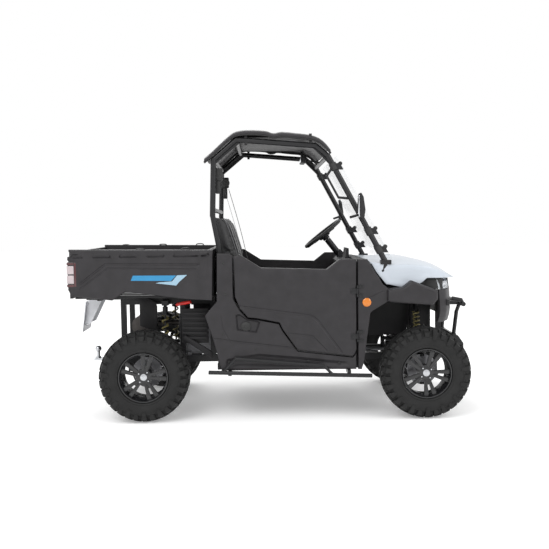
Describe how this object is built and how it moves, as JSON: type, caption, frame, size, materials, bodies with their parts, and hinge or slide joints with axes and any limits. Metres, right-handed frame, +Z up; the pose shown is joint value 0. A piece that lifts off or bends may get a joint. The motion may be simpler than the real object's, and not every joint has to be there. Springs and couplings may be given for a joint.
{
  "type": "side by side utv",
  "caption": "Two-door utility side-by-side with a tilting cargo bed, roll cage, roof, windshield, steering and free-rolling wheels.",
  "frame": {"origin": "middle of the overall length on the ground plane, on the centre line", "axes": "+X forward, +Y to the left of the driver, +Z up"},
  "size_m": [2.927, 1.64, 2.068],
  "materials": {
    "frame_black": "satin powder coat",
    "body_plastic": "fine moulded grain",
    "hood_white": "semi gloss",
    "lamp_clear": "clear lens",
    "cab_plastic": "fine moulded grain",
    "seat_vinyl": "matt vinyl",
    "windshield_clear": "clear",
    "spring_steel": "semi gloss",
    "cast_metal": "as cast",
    "engine_metal": "as cast",
    "exhaust_steel": "dull",
    "tyre_rubber": "matt",
    "rim_black": "satin",
    "grip_rubber": "matt",
    "lamp_red": "gloss",
    "plate_metal": "bare",
    "hitch_steel": "bright"
  },
  "bodies": {
    "chassis": {"chassis_frame": "frame_black", "front_bumper": "frame_black", "front_fascia": "body_plastic", "headlights": "lamp_clear", "hood": "hood_white", "front_fenders": "body_plastic", "dashboard": "cab_plastic", "cab_floor": "cab_plastic", "side_panels": "body_plastic", "step_bars": "frame_black", "seat_cushion": "seat_vinyl", "seat_backs": "seat_vinyl", "rear_bulkhead": "cab_plastic", "roll_cage": "frame_black", "roof": "body_plastic", "windshield": "windshield_clear", "mirrors": "body_plastic", "steering_column": "cab_plastic", "front_a_arms": "frame_black", "rear_a_arms": "frame_black", "shocks": "spring_steel", "rear_knuckles": "cast_metal", "driveline": "cast_metal", "engine_block": "engine_metal", "muffler": "exhaust_steel", "tow_hitch": "hitch_steel"},
    "steering_wheel": {"steering_wheel": "grip_rubber"},
    "tie_rods": {"tie_rods": "cast_metal"},
    "front_knuckle_right": {"front_knuckle_right": "cast_metal"},
    "front_knuckle_left": {"front_knuckle_left": "cast_metal"},
    "front_wheel_right": {"front_tyre_right": "tyre_rubber", "front_rim_right": "rim_black"},
    "front_wheel_left": {"front_tyre_left": "tyre_rubber", "front_rim_left": "rim_black"},
    "rear_wheel_right": {"rear_tyre_right": "tyre_rubber", "rear_rim_right": "rim_black"},
    "rear_wheel_left": {"rear_tyre_left": "tyre_rubber", "rear_rim_left": "rim_black"},
    "door_right": {"door_right": "body_plastic"},
    "door_left": {"door_left": "body_plastic"},
    "cargo_bed": {"bed_tub": "body_plastic", "bed_subframe": "frame_black", "tail_lights": "lamp_red", "plate_bracket": "plate_metal"},
    "tailgate": {"tailgate": "body_plastic"}
  },
  "joints": [
    {"name": "steering", "type": "hinge", "parent": "chassis", "child": "steering_wheel", "pos_m": [0.437, 0.33, 1.305], "axis": [-0.6129, 0, 0.7902], "range_deg": [-270, 270]},
    {"name": "kingpin_right", "type": "hinge", "parent": "chassis", "child": "front_knuckle_right", "pos_m": [1.085, -0.56, 0.322], "axis": [0, 0, 1], "range_deg": [-32.4, 32.4]},
    {"name": "kingpin_left", "type": "hinge", "parent": "chassis", "child": "front_knuckle_left", "pos_m": [1.085, 0.56, 0.322], "axis": [0, 0, 1], "range_deg": [-32.4, 32.4]},
    {"name": "tie_rod_slide", "type": "slide", "parent": "chassis", "child": "tie_rods", "axis": [0, -1, 0], "range_m": [-0.0482, 0.0482]},
    {"name": "front_right_wheel_spin", "type": "hinge", "parent": "front_knuckle_right", "child": "front_wheel_right", "pos_m": [1.085, -0.655, 0.322], "axis": [0, 1, 0], "continuous": true},
    {"name": "front_left_wheel_spin", "type": "hinge", "parent": "front_knuckle_left", "child": "front_wheel_left", "pos_m": [1.085, 0.655, 0.322], "axis": [0, 1, 0], "continuous": true},
    {"name": "rear_right_wheel_spin", "type": "hinge", "parent": "chassis", "child": "rear_wheel_right", "pos_m": [-0.915, -0.63, 0.322], "axis": [0, 1, 0], "continuous": true},
    {"name": "rear_left_wheel_spin", "type": "hinge", "parent": "chassis", "child": "rear_wheel_left", "pos_m": [-0.915, 0.63, 0.322], "axis": [0, 1, 0], "continuous": true},
    {"name": "door_right_hinge", "type": "hinge", "parent": "chassis", "child": "door_right", "pos_m": [0.6, -0.722, 0.75], "axis": [0, 0, 1], "range_deg": [0, 70]},
    {"name": "door_left_hinge", "type": "hinge", "parent": "chassis", "child": "door_left", "pos_m": [0.6, 0.722, 0.75], "axis": [0, 0, -1], "range_deg": [0, 70]},
    {"name": "bed_tilt", "type": "hinge", "parent": "chassis", "child": "cargo_bed", "pos_m": [-1.12, 0, 0.85], "axis": [0, -1, 0], "range_deg": [0, 40]},
    {"name": "tailgate_hinge", "type": "hinge", "parent": "cargo_bed", "child": "tailgate", "pos_m": [-1.425, 0, 0.89], "axis": [0, -1, 0], "range_deg": [0, 90]}
  ],
  "couplings": [
    {"joint": "kingpin_right", "follows": "steering", "ratio": 0.12},
    {"joint": "kingpin_left", "follows": "steering", "ratio": 0.12},
    {"joint": "tie_rod_slide", "follows": "steering", "m_per_rad": 0.010234}
  ]
}
